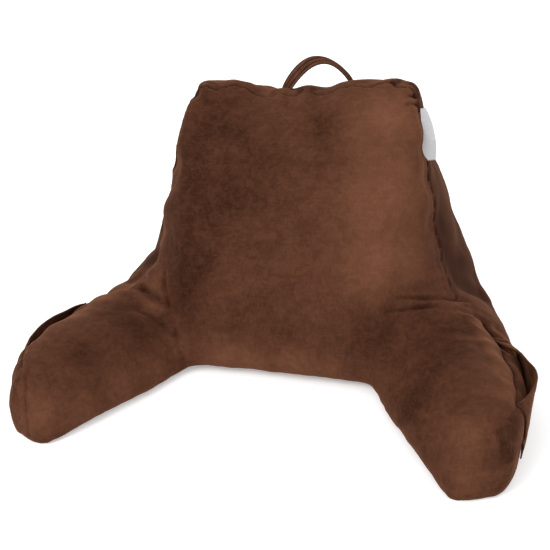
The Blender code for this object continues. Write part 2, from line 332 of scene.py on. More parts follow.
def filledOut(mesh, points):
    height = spotsAt(points, fullness) * mm
    height[points[:, 2] < floorTouch] = 0.0
    moved = points + readPoints(mesh, "normal") * height[:, None]
    moved[:, 2] = np.maximum(moved[:, 2], 0.0)
    return moved


def spread(mesh, values, times):
    edges = np.empty(len(mesh.edges) * 2, dtype=np.int64)
    mesh.edges.foreach_get("vertices", edges)
    a, b = edges.reshape(-1, 2).T
    count = np.bincount(np.concatenate([a, b]), minlength=len(values)).astype(float)
    for _ in range(times):
        total = np.zeros_like(values)
        for axis in range(values.shape[1]):
            total[:, axis] = np.bincount(a, values[b, axis], len(values))
            total[:, axis] += np.bincount(b, values[a, axis], len(values))
        values = 0.5 * values + 0.5 * total / count[:, None]
    return values


filling = {
    "cloth": {"quality": 5, "mass": 0.25, "tension_stiffness": 18, "compression_stiffness": 14,
              "shear_stiffness": 6, "bending_stiffness": 0.4, "uniform_pressure_force": 4.0,
              "shrink_min": -0.03, "shrink_max": 0.11,  # the panels grow, the seams shrink
              "use_pressure": True, "vertex_group_mass": "onFloor",
              "vertex_group_shrink": "sewn"},
    "frames": 20,
    "seamReach": 0.016,
    "least": 0.02,
    "smoothing": 60,  # what is wider than this is left out, so the form stays
    "cap": 0.010,
    "amount": (0.40, 0.50),  # how much of the wrinkles shows on the panels and at the seams
    "amountHeights": (0.15, 0.30),
    "tapeEdge": ((0.207, 0.180, 0.435), (0.214, 0.156, 0.335)),
    "tapeCalm": 0.15,  # how much of them is left where the tape is sewn in
    "tapeReach": (0.012, 0.040),
}


def calmByTape(points):
    away = alongLine(points, np.array(filling["tapeEdge"]) + shift)[0]
    return between(filling["tapeCalm"], 1, smoothStep(away, *filling["tapeReach"]))


def settleFilling(mesh, seamNearness):
    points = readPoints(mesh)
    piece = newPiece("coverSettling", mesh.copy())
    piece.vertex_groups.clear()
    for name, weights in (("onFloor", points[:, 2] < floorTouch), ("sewn", seamNearness)):
        group = piece.vertex_groups.new(name=name)
        for index in np.nonzero(weights > filling["least"])[0]:
            group.add([int(index)], float(weights[index]), "REPLACE")
    cloth = piece.modifiers.new("Filling", "CLOTH")
    setup = cloth.settings
    for name, value in filling["cloth"].items():
        setattr(setup, name, value)
    setup.effector_weights.gravity = 0.0
    cloth.collision_settings.use_collision = False
    cloth.point_cache.frame_start = 1
    cloth.point_cache.frame_end = filling["frames"]
    scene = bpy.context.scene
    for step in range(1, filling["frames"] + 1):
        scene.frame_set(step)
    settled = bakedMesh(piece)
    moved = readPoints(settled) - points
    scene.frame_set(1)
    bpy.data.objects.remove(piece)
    bpy.data.meshes.remove(settled)
    wrinkles = moved - spread(mesh, moved, filling["smoothing"])
    size = norm(wrinkles, axis=1)
    keep = np.minimum(1.0, filling["cap"] / np.maximum(size, 1e-9))
    high = smoothStep(points[:, 2], *filling["amountHeights"]) * np.clip(seamNearness * 3, 0, 1)
    keep *= between(*filling["amount"], high)
    keep *= calmByTape(points)
    wrinkles *= keep[:, None]
    print("filling settled, wrinkles to", round(float(size.max()) * 1000, 1), "mm")
    result = points + wrinkles
    result[:, 2] = np.where(points[:, 2] < floorTouch, 0.0, np.maximum(result[:, 2], 0.0))
    return result


# Creases where the arms leave the backrest, in millimetres: the two ends, the width, the
# depth, the ridge beside it, and how dark the painted shade in it is, with a painted highlight on
# the ridge.
creases = (
    (176, 31, 156, 212, 62, 146.5, 3.2, 2.8, 1.2, 0.3),
    (200, 51, 150, 248, 95.5, 134.5, 3.2, 3.2, 1.4, 0.35),
    (240, 90, 137, 301, 139.5, 117.6, 4.4, 3.4, 1.4, 0.4),
    (165, 20.5, 134.5, 252, 84.5, 127.5, 3.2, 3.8, 1.4, 0.45),
    (252.4, 82.3, 124.5, 325, 108, 95.6, 6, 3.6, 1.8, 0.2),
    (185.2, 50.2, 160.2, 258.6, 137, 154.6, 7, 3.6, 1.2, 0.3),
    (323, 105, 97, 362, 21.4, 86, 6.4, 13, 1.4, 1.5),
    (288, 108, 114, 330.2, -76.4, 108.4, 11, 3, 0, 0.3),
    (-232, 110, 175, -280, 160, 140, 13, 9, 0, 0),
    (-268, 80, 118, -198.5, 33, 105.5, 6.6, 6, 2.2, 0.8),
    (-255, 26, 101, -196, 12.7, 79.5, 9.8, 3.8, 1.4, 0.3),
    (-211, 74, 156, -191.2, 26.6, 97.9, 6.5, 4.6, 0.8, 0.6),
    (-317.1, 145, 97.3, -245, 90, 134, 6, 4, 1.2, 0.4),
    (-182.1, 13.7, 80.5, -157.6, -8.6, 21.3, 5, 2.2, 0.6, 0.4),
    (-264, 160, 148, -325, 152, 101, 32, 9.5, 0, 0),
    (-207, 196, 431, -204, 270, 424, 10, 6, 0, 0),
    (272, 150, 141, 352, 262, 84, 13, 10, 2, 0.5),
    (171.7, 166.3, 436.1, 192, 193, 431.9, 3.6, 3, 0.8, 0.7),
    (174.9, 178.4, 448.7, 189, 198, 443.7, 3.6, 3, 0.8, 0.7),
)
crease = {
    "overrun": 1.05,  # a crease runs out this much past its ends
    "ridgePlace": 2.1,  # this and the next three are in crease widths
    "ridgeWidth": 0.9,
    "shadeWidth": 0.7,
    "cutReach": 2.8,  # the mesh is cut finer up to here
    # the painted highlight on a crease's ridge, as a share of its painted shade
    "ridgeLight": 0.35,
    "widest": 0.010,  # wider creases need no finer mesh
    "tipReach": 0.006,
    "seamReach": 0.0070,
    "seamHeight": 0.06,
}


def creaseLines():
    for row in creases:
        ends = np.array(row[:6]).reshape(2, 3) * mm + shift
        yield (ends, *(np.array(row[6:9]) * mm), row[9])


def creaseProfile(points):
    height = np.zeros(len(points))
    shade = np.zeros(len(points))
    for line, width, depth, ridge, dark in creaseLines():
        distance, along = alongLine(points, line)
        reach = norm(line[1] - line[0]) / 2 * crease["overrun"]
        fade = np.maximum(1.0 - (np.abs(along) / reach) ** 3, 0.0)
        aside = distance - crease["ridgePlace"] * width
        beside = bell(aside, crease["ridgeWidth"] * width)
        height += fade * (ridge * beside - depth * bell(distance, width))
        # Painted shade along the crease groove, and a painted highlight on its ridge.
        shaded = bell(distance, crease["shadeWidth"] * width)
        shade += dark * fade * (shaded - crease["ridgeLight"] * beside)
    return height, shade


# Cuts the mesh finer where a crease or a seam needs it.
def finerNearCreases(mesh):
    points = readPoints(mesh)
    wanted = np.zeros(len(points), dtype=bool)
    for line, width, *_ in creaseLines():
        if width < crease["widest"]:
            wanted |= alongLine(points, line)[0] < crease["cutReach"] * width
    for line in (leftTip, rightTip):
        wanted |= alongLine(points, line)[0] < crease["tipReach"]
    toFront = alongLine(points, seamLines(mesh, points)[0])[0]
    wanted |= (toFront < crease["seamReach"]) & (points[:, 2] > crease["seamHeight"])
    finer = bmesh.new()
    finer.from_mesh(mesh)
    finer.verts.ensure_lookup_table()
    edges = [edge for edge in finer.edges if all(wanted[vertex.index] for vertex in edge.verts)]
    bmesh.ops.subdivide_edges(finer, edges=edges, cuts=1, use_grid_fill=True, smooth=0.5)
    finer.to_mesh(mesh)
    finer.free()
    mesh.update()
    print("mesh cut finer at", len(edges), "edges")


def fineGathers(along, distance, share):
    amount, pace = cover["fineDrift"]
    wave = sum(np.sin(2 * pi * along / pitch + cover["finePhase"] * k
                      + amount * np.sin(along * pace + k))
               for k, pitch in enumerate(cover["finePitch"]))
    height = cover["fineHeight"] * between(cover["fineLow"], 1, share)
    return height * wave / cover["finePeak"] * bell(distance, cover["fineReach"])


# The filling's soft lumps. A row holds two crossed waves, each by its pace along x, y and z
# and its start, and how strongly they show.
lumpWaves = (
    ((61, 0, 0, 1.3), (0, 0, 57, 0.4), 1.0),
    ((33, 0, 41, 2.1), (0, 47, 0, 0.9), 1.0),
    ((0, 83, 29, 0.0), (94, 0, 0, 0.2), 0.6),
)
lumpHeight = 0.0006


def stuffingLumps(points):
    def wave(row):
        return np.sin(points @ np.array(row[:3], dtype=float) + row[3])

    return lumpHeight * sum(amount * wave(one) * wave(other) for one, other, amount in lumpWaves)


# Short seams that round off the arms' ends, in millimetres, mirrored on the other arm.
tipSeam = (
    (-330, -206, 85), (-324, -217, 71.5), (-323.4, -224.4, 54.4), (-319.7, -231.7, 39.2),
    (-314, -239.7, 23.1), (-309.2, -245.7, 9.1),
)

# Where the pile is painted lighter or darker: partly its own patchy tone, partly painted
# highlights on the rims, ridges and lip and painted shade where less light falls. x, y, z and
# reach in millimetres, and how much lighter in hundredths.
napAndLightPatches = (
    (-150, 165, 410, 60, -20), (-160, 85, 290, 75, -15), (-175, 35, 180, 60, -24),
    (-165, 20, 125, 40, -12), (-195, 130, 340, 45, -12), (-205, 100, 240, 50, -10),
    (-70, 110, 330, 75, -14), (-110, 70, 240, 85, -7), (45, 155, 398, 30, -20),
    (60, 120, 350, 30, -10), (145, 160, 425, 50, 26), (150, 100, 330, 60, 26),
    (160, 65, 235, 62, 26), (190, 80, 200, 35, 24), (182, 150, 405, 45, 16),
    (195, 110, 300, 45, 18), (115, 150, 420, 45, 14), (110, 85, 290, 50, 8),
    (135, 45, 185, 50, 24), (-25, 14, 107, 45, -10), (225, 100, 150, 30, 6),
    (-80, 10, 90, 22, -10), (20, 12, 85, 20, -8), (-50, 0, 30, 36, 32), (30, 0, 30, 36, 28),
    (142, 10, 92, 45, -14), (256, 8, 101, 45, -20), (215, -119, 40, 30, -14),
    (246, -187, 38, 30, -12), (308, 285, 125, 40, -14), (288, 180, 112, 28, -17),
    (222, 74, 138, 26, -18), (-212, 85, 195, 30, -16), (-207, 60, 145, 25, -14),
    (-205, 105, 270, 30, -8), (-194, 37, 117, 22, -8), (0, 180, 465, 38, 12),
    (70, 190, 470, 38, 12), (205, -50, 70, 45, -8), (231, -115, 64, 45, -20),
    (250, -60, 100, 30, -16), (280, 50, 112, 30, -16), (290, -30, 108, 30, -14),
    (318, 85, 102, 17, 34), (327, 30, 106, 17, 34), (333, -20, 107, 17, 34),
    (341, -80, 107, 19, 32), (350, -130, 103, 19, 22), (300, 150, 115, 30, 12),
    (301, -209, 77, 26, 22), (303, -236, 37, 24, 26), (260, -219, 27, 26, -12),
    (340, -222, 42, 22, -4), (-241, -18, 91, 42, -20), (-275, -133, 92, 40, -18),
    (-295, -232, 46, 32, 18), (-228, 68, 124, 13, 20), (-228, 32, 98, 12, 16),
    (-270, 80, 116, 30, -10), (-290, 10, 108, 40, -14), (-51, 210, 441, 26, 16),
    (-308, 120, 108, 28, 36), (-320, 45, 108, 26, 36), (-345, -30, 105, 28, 34),
    (-235, -120, 28, 32, 40), (-200, -55, 28, 30, 36), (-265, -190, 28, 30, 30),
    (-100, 0, 28, 34, 28), (90, 0, 28, 30, 16),
)

# Painted shade on the side strips, with some of the pile's own darker tone: all of them darker,
# and more above the fold at each elbow.
paintedSideShade = {
    "all": -0.18,
    "aboveFold": -0.34,
    "fold": (0.134, 0.149),
    "foldAway": (0.547, 0.838),
    "foldBlend": (-0.010, 0.012),
    "facing": (0.15, 0.45),
    "seamBlend": (0.0005, 0.0045),
}


def evenStations(line, count=80):
    travelled = pathLengths(line)[1]
    wanted = np.linspace(0.0, travelled[-1], count)
    return np.column_stack([np.interp(wanted, travelled, line[:, axis]) for axis in range(3)])


# How far a point lies past one seam, towards the other.
def pastSeam(points, seam, other):
    stations = evenStations(seam)
    across = evenStations(other) - stations
    across /= norm(across, axis=1)[:, None]
    best = np.full(len(points), np.inf)
    past = np.zeros(len(points))
    for station, direction in zip(stations, across):
        away = points - station
        distance = norm(away, axis=1)
        closer = distance < best
        best[closer] = distance[closer]
        past[closer] = (away @ direction)[closer]
    return past


# How much painted shade each point of the side strips gets.
def sideShade(points, normals):
    lipPoints = points - shift
    facing = np.abs(normals[:, 0]) * (normals[:, 0] * lipPoints[:, 0] > 0)
    onSide = smoothStep(facing, *paintedSideShade["facing"])
    for seam, other in ((frontLine, backLine), (backLine, frontLine)):
        onSide *= smoothStep(pastSeam(points, seam, other), *paintedSideShade["seamBlend"])
    above = (lipPoints[:, 1:] - paintedSideShade["fold"]) @ np.array(paintedSideShade["foldAway"])
    above = smoothStep(above, *paintedSideShade["foldBlend"])
    return onSide * (paintedSideShade["all"] + paintedSideShade["aboveFold"] * above)


mesh = coverMesh()
formed = softForm(readPoints(mesh), readPoints(mesh, "normal"))
middle = (formed.min(axis=0) + formed.max(axis=0)) / 2
shift = (np.add(*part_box("pillow_body")) / 2 - middle) * (1, 1, 0)
formed = filledOut(mesh, formed + shift)
writePoints(mesh, formed)
print("cover cut and sewn,", len(mesh.vertices), "points, moved by", shift.round(5))

frontGuide, backGuide = [bothSides(cutLine(name)) + shift for name in ("front", "back")]
frontLine, backLine = seamLines(mesh, formed)
near = np.minimum(alongLine(formed, frontLine)[0], alongLine(formed, backLine)[0])
formed = settleFilling(mesh, bell(near, filling["seamReach"]))
writePoints(mesh, formed)

# One more subdivision, then what the needle and the folds leave in the cloth.
coverCloth = subdivided(newPiece("coverSmoothing", mesh), 1)
coverCloth.name = "pillowCover"
leftTip = np.array(tipSeam) * mm + shift
rightTip = np.array(tipSeam) * (-mm, mm, mm) + shift
finerNearCreases(coverCloth)
points = readPoints(coverCloth)
normals = readPoints(coverCloth, "normal")
frontLine, backLine = seamLines(coverCloth, points)
toFront, alongFront = alongLine(points, frontLine)
toBack, alongBack = alongLine(points, backLine)
toLeftTip, toRightTip = [alongLine(points, line)[0] for line in (leftTip, rightTip)]
upShare = smoothStep(points[:, 2], *cover["upHeights"])
height, creaseShade = creaseProfile(points)
height += fineGathers(alongFront, toFront, upShare) * calmByTape(points)
height += cover["fineBack"] * fineGathers(alongBack, toBack, upShare)
height += stuffingLumps(points)
frontShown = seamStrength(alongLine(points, frontGuide)[1], frontGuide)
backShown, endFade = cover["seamBack"]
backShown *= smoothStep(0.5 * np.ptp(alongBack) - np.abs(alongBack), 0.0, endFade)
# Each seam is pressed in as a groove, and its line is painted darker as painted shade.
seamShade = np.zeros(len(points))
for distance, shown in ((toFront, frontShown), (toBack, backShown),
                        (toLeftTip, cover["tipSeams"][0]), (toRightTip, cover["tipSeams"][1])):
    width = cover["seamWidth"]
    height -= shown * cover["seamDepth"] * bell(distance, width)
    height += shown * cover["seamLip"] * bell(distance - cover["lipPlace"] * width, width)
    seamShade = np.maximum(seamShade, shown * bell(distance, cover["shadeWidth"]))
onFloor = points[:, 2] < floorTouch
points = points + normals * (height * ~onFloor)[:, None]
points[:, 2] = np.maximum(points[:, 2], 0.0)
writePoints(coverCloth, points)
# The painted shade of the seams and creases, and the painted highlights on the crease ridges.
writeMask(coverCloth, "seamShade", np.clip(seamShade + creaseShade, -0.5, 1.0))
# The nap mask: the side strips' painted shade, plus the pile's own patchy tone with painted
# highlights and painted shade.
writeMask(coverCloth, "napAndPaintedLight", sideShade(points, normals) + spotsAt(points, napAndLightPatches) / 100)
pillowCover = newPiece("pillowCover", coverCloth)
pillowCover.vertex_groups.clear()
coverCloth.shade_smooth()
coverSurface = BVHTree.FromPolygons([v.co for v in coverCloth.vertices],
                                    [p.vertices for p in coverCloth.polygons])
print("cover finished,", len(coverCloth.polygons), "faces")


def ringsToMesh(name, rings):
    points = [point for ring in rings for point in ring]
    here = np.arange(len(points)).reshape(len(rings), -1)
    after = np.roll(here, -1, axis=1)
    faces = np.stack([here[:-1], after[:-1], after[1:], here[1:]], axis=-1).reshape(-1, 4)
    return closedMesh(name, points, [*faces.tolist(), here[0, ::-1].tolist(), here[-1].tolist()])


strap = {
    "feet": ((-0.0420, 0.2485), (0.0769, 0.2512)),
    "rise": 0.0440,
    "lean": 13 * deg,  # the arch leans forward
    "turns": (-29 * deg, -13 * deg),
    "twist": -12 * deg,
    "tilts": (11 * deg, 20 * deg),
    "roundness": 0.8,
    "width": 0.042,
    "thickness": 0.0024,
    "sewnDepth": 0.006,
    "steps": 64,
    "across": 32,
    "foldHeight": (0.0010, 0.0017),  # lengthwise folds at the crown and at the feet
    "folds": 3.0,
    "foldDrift": (1.1, 6, 0.6, 0.5),  # how the folds wander: how far, how often, two starts
    # how dark the painted shade in the folds' hollows is
    "foldShade": 0.9,
    "seamInset": 0.0040,
    "seamPinch": (0.45, 0.0011),  # how deep and how wide the stitches press the edge
}


def strapFoot(x, y):
    hit = coverSurface.ray_cast(Vector((x + shift[0], y + shift[1], 1.0)), Vector((0, 0, -1)))[0]
    return np.array(hit) - (0.0, 0.0, strap["sewnDepth"])


def strapLine():
    feet = [strapFoot(*foot) for foot in strap["feet"]]
    lean = strap["lean"]
    up = np.array((0.0, -sin(lean), cos(lean)))
    stations = []
    for step in range(strap["steps"] + 1):
        share = (1 - cos(pi * step / strap["steps"])) / 2
        arch = max(sin(pi * share), 0.0)
        rise = (strap["rise"] + strap["sewnDepth"]) * arch ** strap["roundness"]
        centre = between(*feet, share) + up * rise
        turn = between(*strap["turns"], share) + strap["twist"] * arch
        tilt = between(*strap["tilts"], share) + (lean - sum(strap["tilts"]) / 2) * arch
        side = np.array((sin(turn) * cos(tilt), cos(turn) * cos(tilt), sin(tilt)))
        stations.append((share, centre, side))
    return stations


def strapRings():
    stations = strapLine()
    runs = np.gradient(np.array([centre for share, centre, side in stations]), axis=0)
    rings, seams, shades = [], [], []
    half = strap["width"] / 2
    inset = 1 - strap["seamInset"] / half

    def foldWave(share, u):
        amount, pace, start, turned = strap["foldDrift"]
        drift = amount * sin(pace * share + start)
        return cos(pi * strap["folds"] * u + drift + turned)

    def clothPoint(share, centre, side, out, u, face):
        gathered = abs(2 * share - 1) ** 2
        wave = between(*strap["foldHeight"], gathered) * (1 - u ** 4) * foldWave(share, u)
        body = strap["thickness"] / 2 * (1 - u ** 6) ** 0.5
        depth, width = strap["seamPinch"]
        body *= 1 - depth * bell((abs(u) - inset) * half, width)
        return centre + side * u * half + out * (face * body + wave - strap["thickness"] / 2)

    count = strap["across"]
    places = [-1 + 2 * k / count for k in range(count + 1)]
    sides = [(u, 1) for u in places] + [(u, -1) for u in places[-2:0:-1]]
    stitched = [(u, face) for face in (1, -1) for u in (-inset, inset)]
    for (share, centre, side), run in zip(stations, runs):
        here = (share, centre, side, unit(np.cross(run, side)))
        rings.append([clothPoint(*here, u, face) for u, face in sides])
        seams.append([clothPoint(*here, u, face) for u, face in stitched])
        # Painted shade in the folds' hollows and along the strap's edges.
        shades += [strap["foldShade"] * max(0.0, -foldWave(share, u)) + u ** 12
                   for u, face in sides]
    return rings, list(zip(*seams)), shades


rings, strapSeams, strapShade = strapRings()
carryStrap = newPiece("carryStrap", ringsToMesh("carryStrap", rings))
writeMask(carryStrap.data, "seamShade", np.clip(strapShade, 0.0, 1.0))
print("strap made,", len(carryStrap.data.polygons), "faces")


tape = {
    "top": 0.425,
    "bottom": 0.345,
    "width": 0.0205,
    "sewnDepth": 0.006,
    "shares": (0.0, 0.3, 0.6, 1.0),
    "turns": (55 * deg, 28 * deg, 10 * deg, 35 * deg),
    "layer": 0.00055,
    "gap": 0.0007,
    "steps": (24, 8, 6),  # along the seam, across each layer, and round the fold
    "bulge": 0.6,  # how far the two layers stand apart between seam and fold
    "ripple": (0.0006, 5.0, 3.0),  # height, and its pace down the tape and out from the seam
}


def sideX(side, y, z):
    return coverSurface.ray_cast(Vector((side, y, z)), Vector((-side, 0, 0)))[0].x


def tapeRings():
    guide = frontLine[np.argsort(frontLine[:, 2])]
    guide = guide[guide[:, 0] > 0.15]  # the right side alone
    heights = np.linspace(tape["bottom"], tape["top"], 9)
    depths = np.interp(heights, guide[:, 2], guide[:, 1])
    fit = np.polynomial.Polynomial.fit
    evenX = fit(heights, [sideX(1, y, z) for y, z in zip(depths, heights)], 2)
    evenY = fit(heights, depths, 2)
    steps, count, foldSteps = tape["steps"]
    path = [(k / count, 0.0) for k in range(count + 1)]
    path += [(1.0, pi * k / foldSteps) for k in range(1, foldSteps)]
    path += [(k / count, pi) for k in range(count, -1, -1)]
    ripple, down, away = tape["ripple"]
    fold = tape["gap"] / 2 + tape["layer"]
    rings = []
    for step in range(steps + 1):
        share = step / steps
        z = between(tape["top"], tape["bottom"], share)
        edge = np.array((evenX(z), evenY(z), z))
        turn = float(np.interp(share, tape["shares"], tape["turns"]))
        across = np.array((cos(turn), sin(turn), 0.0))
        flat = np.array((-sin(turn), cos(turn), 0.0))
        start = edge - (tape["sewnDepth"], 0.0, 0.0)
        last = edge + across * tape["width"] - across * fold
        outer, inner = [], []
        for u, angle in path:
            centre = between(start, last, u) + flat * ripple * sin(down * share + away * u)
            outward = flat * cos(angle) + across * sin(angle)
            apart = fold * (1 + tape["bulge"] * sin(pi * u))
            outer.append(centre + outward * apart)
            inner.append(centre + outward * (apart - tape["layer"]))
        rings.append(outer + inner[::-1])
    return rings


tapeLabel = newPiece("sideTapeLabel", ringsToMesh("sideTapeLabel", tapeRings()))
print("side tape made,", len(tapeLabel.data.polygons), "faces")


armPockets = (
    {"name": "armPocketRight", "node": "pocket_right", "side": 1, "near": -0.140, "low": 0.016,
     "high": 0.088, "gape": 0.008, "cutLength": 0.237},
    {"name": "armPocketLeft", "node": "pocket_left", "side": -1, "near": -0.112, "low": 0.016,
     "high": 0.082, "gape": 0.006, "cutLength": 0.202},
)
pocket = {
    "lean": 0.018,  # of the near edge
    "far": 0.062,
    "thickness": 0.0020,
    "gap": 0.0014,
    "steps": (60, 26),
    "gapeShift": 0.8,
    "gapeSpread": 1.1,
    "gapeRise": 0.6,
    "tuck": 0.30,
    "hem": 0.013,
    "hemBlend": 0.0006,
    "hemSwell": 0.0007,
    "edge": 0.0035,
    "groove": (0.0007, 0.0012),  # depth and width of what the stitches press in
    "pull": (0.0005, 520, 0.7, 0.008),  # puckers along the edge: height, pace, start, reach
}


def pocketGrid(spec):
    columns = []
    across, upward = pocket["steps"]
    for i in range(across + 1):
        share = i / across
        opening = max(sin(pi * share ** pocket["gapeShift"]), 0.0)
        opening **= pocket["gapeSpread"]
        widest = 0.0
        column = []
        for j in range(upward + 1):
            up = j / upward
            near = spec["near"] - pocket["lean"] * (1 - up)
            y = between(near, pocket["far"], share) + shift[1]
            z = between(spec["low"], spec["high"], up)
            arm = abs(sideX(spec["side"], y, z) - shift[0])
            widest = max(widest, arm)
            hang = min(up + share / pocket["tuck"], 1.0) * (widest - arm)
            standOff = (hang + spec["gape"] * up ** pocket["gapeRise"]) * opening
            x = spec["side"] * (arm + pocket["gap"] + standOff) + shift[0]
            column.append(np.array((x, y, z)))
        columns.append(column)
    return columns


# The faces of a sheet: its inner and outer grid, and the rim that closes it.
def sheetFaces(across, upward):
    grid = np.arange((across + 1) * (upward + 1)).reshape(across + 1, -1)
    quads = np.stack([grid[:-1, :-1], grid[1:, :-1], grid[1:, 1:], grid[:-1, 1:]], axis=-1)
    sides = np.stack([quads[..., ::-1], quads + grid.size], axis=2).reshape(-1, 4)
    border = np.concatenate([grid[0], grid[1:, -1], grid[-1, -2::-1], grid[-2:0:-1, 0]])
    after = np.roll(border, -1)
    rim = np.column_stack([border, after, after + grid.size, border + grid.size])
    return [*sides.tolist(), *rim.tolist()]


def pocketPiece(spec):
    grid = np.array(pocketGrid(spec))
    across, upward = pocket["steps"]
    outward = np.cross(np.gradient(grid, axis=0), np.gradient(grid, axis=1))
    outward /= norm(outward, axis=2)[..., None]
    outward *= np.sign(outward[..., :1] * spec["side"])
    tall = spec["high"] - spec["low"]
    wide = np.abs(grid[-1, 0, 1] - grid[0, 0, 1])
    up = (grid[..., 2] - spec["low"]) / tall
    fromTop = (1 - up) * tall
    fromSide = np.minimum(np.arange(across + 1), across - np.arange(across + 1)) / across
    edge = np.minimum(fromSide[:, None] * wide, up * tall)
    depth, width = pocket["groove"]
    atEdge = bell(edge - pocket["edge"], width)
    atHem = bell(fromTop - pocket["hem"], width)
    hem = 1 / (1 + np.exp((fromTop - pocket["hem"]) / pocket["hemBlend"]))
    thick = pocket["thickness"] + pocket["hemSwell"] * hem - depth * atEdge - depth * atHem
    height, pace, start, reach = pocket["pull"]
    pull = height * np.sin(grid[..., 1] * pace + start) * bell(edge, reach)
    outer = grid + outward * (thick + pull)[..., None]
    points = np.vstack([grid.reshape(-1, 3), outer.reshape(-1, 3)])
    mesh = closedMesh(spec["name"], points, sheetFaces(across, upward))
    # Painted shade in the stitched grooves along the edge and under the hem.
    seam = np.maximum(atEdge, atHem).ravel()
    writeMask(mesh, "seamShade", np.concatenate([seam, seam]))
    piece = newPiece(spec["name"], mesh)
    level = int(round((1 - pocket["hem"] / tall) * upward))
    side = max(1, int(round(pocket["edge"] / (wide / across))))
    bottom = max(1, int(round(pocket["edge"] / (tall / upward))))
    edgeLine = [*outer[side, :bottom - 1:-1], *outer[side + 1:across - side + 1, bottom],
                *outer[across - side, bottom + 1:]]
    return piece, [list(outer[1:across, level]), edgeLine]


pockets = []
for spec in armPockets:
    piece, lines = pocketPiece(spec)
    pockets.append((spec, piece, lines))
    print(spec["name"], "made,", len(piece.data.polygons), "faces")


# Sets a node's inputs, each to a value or to another node's output.
def setInputs(tree, node, inputs):
    for name, value in inputs.items():
        if isinstance(value, bpy.types.NodeSocket):
            tree.links.new(value, node.inputs[name])
        else:
            node.inputs[name].default_value = value


# Adds a node, sets it up and gives back its outputs.
def nodeIn(tree, kind, inputs=None, **settings):
    node = tree.nodes.new(kind)
    for name, value in settings.items():
        setattr(node, name, value)
    setInputs(tree, node, inputs or {})
    return node.outputs


def addSocket(tree, name, kind, value=None, way="INPUT"):
    socket = tree.interface.new_socket(name, in_out=way, socket_type="NodeSocket" + kind)
    if value is not None:
        socket.default_value = value


threadSizes = {
    "Stitch spacing": 0.0034,
    "Stitch length": 0.0026,
    "Thread thickness": 0.0006,
    "Unevenness": 0.12,
}


def threadTree():
    tree = bpy.data.node_groups.new("threadStitches", "GeometryNodeTree")
    addSocket(tree, "Geometry", "Geometry")
    for name, value in threadSizes.items():
        addSocket(tree, name, "Float", value)
    addSocket(tree, "Seed", "Int")
    addSocket(tree, "Thread", "Material")
    addSocket(tree, "Geometry", "Geometry", way="OUTPUT")
    given = nodeIn(tree, "NodeGroupInput")
    curve = nodeIn(tree, "GeometryNodeMeshToCurve", {"Mesh": given["Geometry"]})
    evenly = nodeIn(tree, "GeometryNodeResampleCurve", {
        "Curve": curve["Curve"], "Length": given["Stitch spacing"]}, mode="LENGTH")
    bead = nodeIn(tree, "GeometryNodeMeshUVSphere", {"Segments": 8, "Rings": 5, "Radius": 0.5})
    tangent = nodeIn(tree, "GeometryNodeInputTangent")["Tangent"]
    turn = nodeIn(tree, "FunctionNodeAlignRotationToVector", {"Vector": tangent}, axis="X")
    lowest = nodeIn(tree, "ShaderNodeMath", {
        0: 1.0, 1: given["Unevenness"]}, operation="SUBTRACT")
    chance = nodeIn(tree, "FunctionNodeRandomValue", {
        2: lowest[0], 3: 1.0, "Seed": given["Seed"]}, data_type="FLOAT")
    stretch = nodeIn(tree, "ShaderNodeMath", {
        0: given["Stitch length"], 1: chance[1]}, operation="MULTIPLY")
    size = nodeIn(tree, "ShaderNodeCombineXYZ", {
        "X": stretch[0], "Y": given["Thread thickness"], "Z": given["Thread thickness"]})
    place = nodeIn(tree, "GeometryNodeInstanceOnPoints", {
        "Points": evenly["Curve"], "Instance": bead["Mesh"],
        "Rotation": turn["Rotation"], "Scale": size["Vector"]})
    real = nodeIn(tree, "GeometryNodeRealizeInstances", {"Geometry": place["Instances"]})
    shade = nodeIn(tree, "GeometryNodeSetShadeSmooth", {"Geometry": real["Geometry"]})
    paint = nodeIn(tree, "GeometryNodeSetMaterial", {
        "Geometry": shade["Geometry"], "Material": given["Thread"]})
    nodeIn(tree, "NodeGroupOutput", {"Geometry": paint["Geometry"]})
    return tree


def sewLines(name, lines, tree, material, seed):
    points, edges = [], []
    for line in lines:
        start = len(points)
        points += line
        edges += [(start + k, start + k + 1) for k in range(len(line) - 1)]
    guide = meshFrom(name, points, [], edges)
    piece = newPiece(name, guide)
    sewing = piece.modifiers.new("Stitches", "NODES")
    sewing.node_group = tree
    sockets = {item.name: item.identifier for item in tree.interface.items_tree
               if item.item_type == "SOCKET" and item.in_out == "INPUT"}
    sewing[sockets["Seed"]] = seed
    sewing[sockets["Thread"]] = material
    stitches = bakedMesh(piece)
    piece.modifiers.clear()
    piece.data = stitches
    bpy.data.meshes.remove(guide)
    return piece


velour = {
    "tones": ((0.026, 0.0085, 0.0042, 1.0), (0.160, 0.0635, 0.0345, 1.0)),  # dark, light
    "finish": {"Specular IOR Level": 0.03, "Sheen Weight": 0.26, "Sheen Roughness": 0.36,
               "Sheen Tint": (0.66, 0.27, 0.13, 1.0)},
    "strapTones": ((0.022, 0.0080, 0.0045, 1.0), (0.170, 0.0700, 0.0400, 1.0)),
    "strapPatchiness": 0.8,
    "base": 0.37,  # how light the pile lies where nothing changes it
    "lines": 0.16,  # how plainly the fine cross lines show in the colour
    "linePaces": (310.0, 60.0),  # waves per metre across them and along them
    "pile": 0.30,
    "shade": 0.50,  # how dark the painted shade in seams, creases and folds makes the pile
    "mottleRange": (0.36, 0.64),
    "patchNoise": (4.0, 0.60, 0.6),  # detail, roughness and distortion, as the next three
    "mottleNoise": (3.0, 0.62, 0.8),
    "pileNoise": (3.0, 0.6, 0.0),
    "lineNoise": (1.0, 0.5, 0.0),
    "roughness": (0.72, 0.2),  # the least, and what the patches add
    "heights": (0.6, 1.2, 0.3),  # how high the pile, the patches and the lines stand
    "bump": (0.5, 0.0008),
}
velourInputs = {
    "Nap and painted light": 0.0,
    "Shade": 0.0,
    "Patch size": 0.055,
    "Mottle size": 0.012,
    "Pile size": 0.0009,
    "Mottling": 0.12,
    "Patchiness": 0.4,
}


